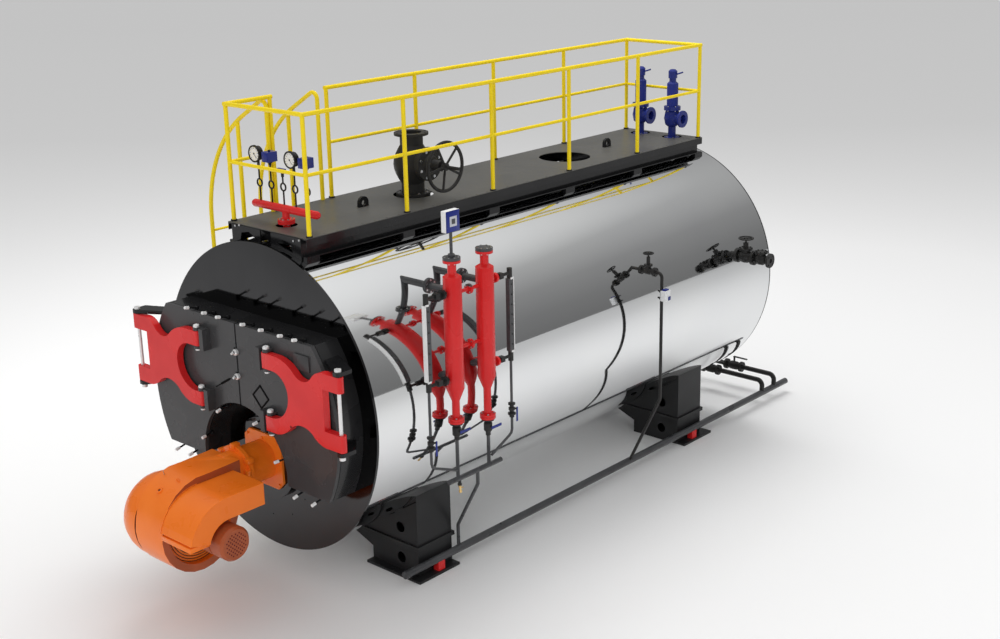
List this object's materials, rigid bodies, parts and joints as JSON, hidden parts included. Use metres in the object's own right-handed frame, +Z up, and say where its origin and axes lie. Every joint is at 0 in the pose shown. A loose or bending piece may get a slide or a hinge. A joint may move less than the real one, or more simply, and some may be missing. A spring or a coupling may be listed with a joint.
{
  "type": "industrial steam boiler",
  "caption": "Horizontal fire-tube steam boiler with a two-leaf smokebox door, a fan burner, level columns, a railed deck with its fittings, and pipes along the floor",
  "frame": {"origin": "on the floor, under the shell axis, midway between the two pairs of legs", "axes": "+Y along the shell towards its rear end, +Z up, +X towards the side with the level columns"},
  "size_m": [3.422, 8.8584, 4.514],
  "materials": {
    "stainless_cladding": "polished",
    "dark_gloss_plate": "gloss",
    "black_paint": "gloss",
    "grey_paint": "satin",
    "red_paint": "gloss",
    "orange_paint": "gloss",
    "yellow_paint": "gloss",
    "blue_paint": "gloss",
    "steel": "satin",
    "white_plastic": "satin"
  },
  "bodies": {
    "boiler": {"blowdown_lines": "grey_paint", "burner_hood": "orange_paint", "burner_housing": "orange_paint", "burner_inlet": "orange_paint", "burner_motor": "orange_paint", "burner_plate": "orange_paint", "burner_ring": "dark_gloss_plate", "column_pipes": "grey_paint", "deck_brackets": "black_paint", "deck_cross_beams": "black_paint", "deck_plates": "grey_paint", "deck_side_beams": "black_paint", "drain_pipes": "grey_paint", "drain_valves": "grey_paint", "feed_line": "grey_paint", "floor_pipe": "steel", "flue_outlet": "dark_gloss_plate", "front_legs": "black_paint", "front_plate": "dark_gloss_plate", "gauge_connections": "grey_paint", "gauge_glasses": "white_plastic", "gauge_header": "red_paint", "guard_posts": "yellow_paint", "handrail_arches": "yellow_paint", "handrail_props": "yellow_paint", "hinge_brackets": "black_paint", "hinge_rods": "steel", "ladder_rungs": "yellow_paint", "ladder_stiles": "yellow_paint", "level_columns": "red_paint", "level_transmitter": "steel", "lifting_lugs": "black_paint", "manhole_panel": "grey_paint", "mid_rails": "yellow_paint", "pressure_gauges": "steel", "pressure_switches": "blue_paint", "rear_legs": "black_paint", "rear_plate": "dark_gloss_plate", "safety_valve_bodies": "blue_paint", "safety_valve_bonnets": "blue_paint", "sample_box": "white_plastic", "sample_line": "grey_paint", "shell": "stainless_cladding", "siphons": "grey_paint", "smokebox_arch": "black_paint", "smokebox_roof_and_floor": "black_paint", "smokebox_sides": "black_paint", "stop_valve_body": "black_paint", "stop_valve_bonnet": "black_paint", "top_rail": "yellow_paint"},
    "door_left_body": {"door_left": "grey_paint", "hinge_plate_left": "red_paint", "door_pins_left": "black_paint"},
    "door_right_body": {"door_right": "grey_paint", "hinge_plate_right": "red_paint", "door_pins_right": "black_paint", "seam_clamps": "steel"},
    "steam_valve_wheel_body": {"stop_valve_wheel": "black_paint"},
    "sampling_valve_wheel_body": {"sample_wheel": "grey_paint"},
    "feed_valve_wheel_body": {"feed_wheel": "grey_paint"}
  },
  "joints": [
    {"name": "door_left_hinge", "type": "hinge", "parent": "boiler", "child": "door_left_body", "pos_m": [-1.43, -3.5655, 2.11], "axis": [0, 0, -1], "range_deg": [0, 100]},
    {"name": "door_right_hinge", "type": "hinge", "parent": "boiler", "child": "door_right_body", "pos_m": [1.43, -3.5655, 2.11], "axis": [0, 0, 1], "range_deg": [0, 100]},
    {"name": "steam_valve_wheel_turn", "type": "hinge", "parent": "boiler", "child": "steam_valve_wheel_body", "pos_m": [0.452, -1.2135, 3.74], "axis": [1, 0, 0], "continuous": true},
    {"name": "sampling_valve_wheel_turn", "type": "hinge", "parent": "boiler", "child": "sampling_valve_wheel_body", "pos_m": [1.515, 0.6625, 2.655], "axis": [0, 0, 1], "continuous": true},
    {"name": "feed_valve_wheel_turn", "type": "hinge", "parent": "boiler", "child": "feed_valve_wheel_body", "pos_m": [1.568, 2.4545, 2.46], "axis": [0, 0, 1], "continuous": true}
  ]
}
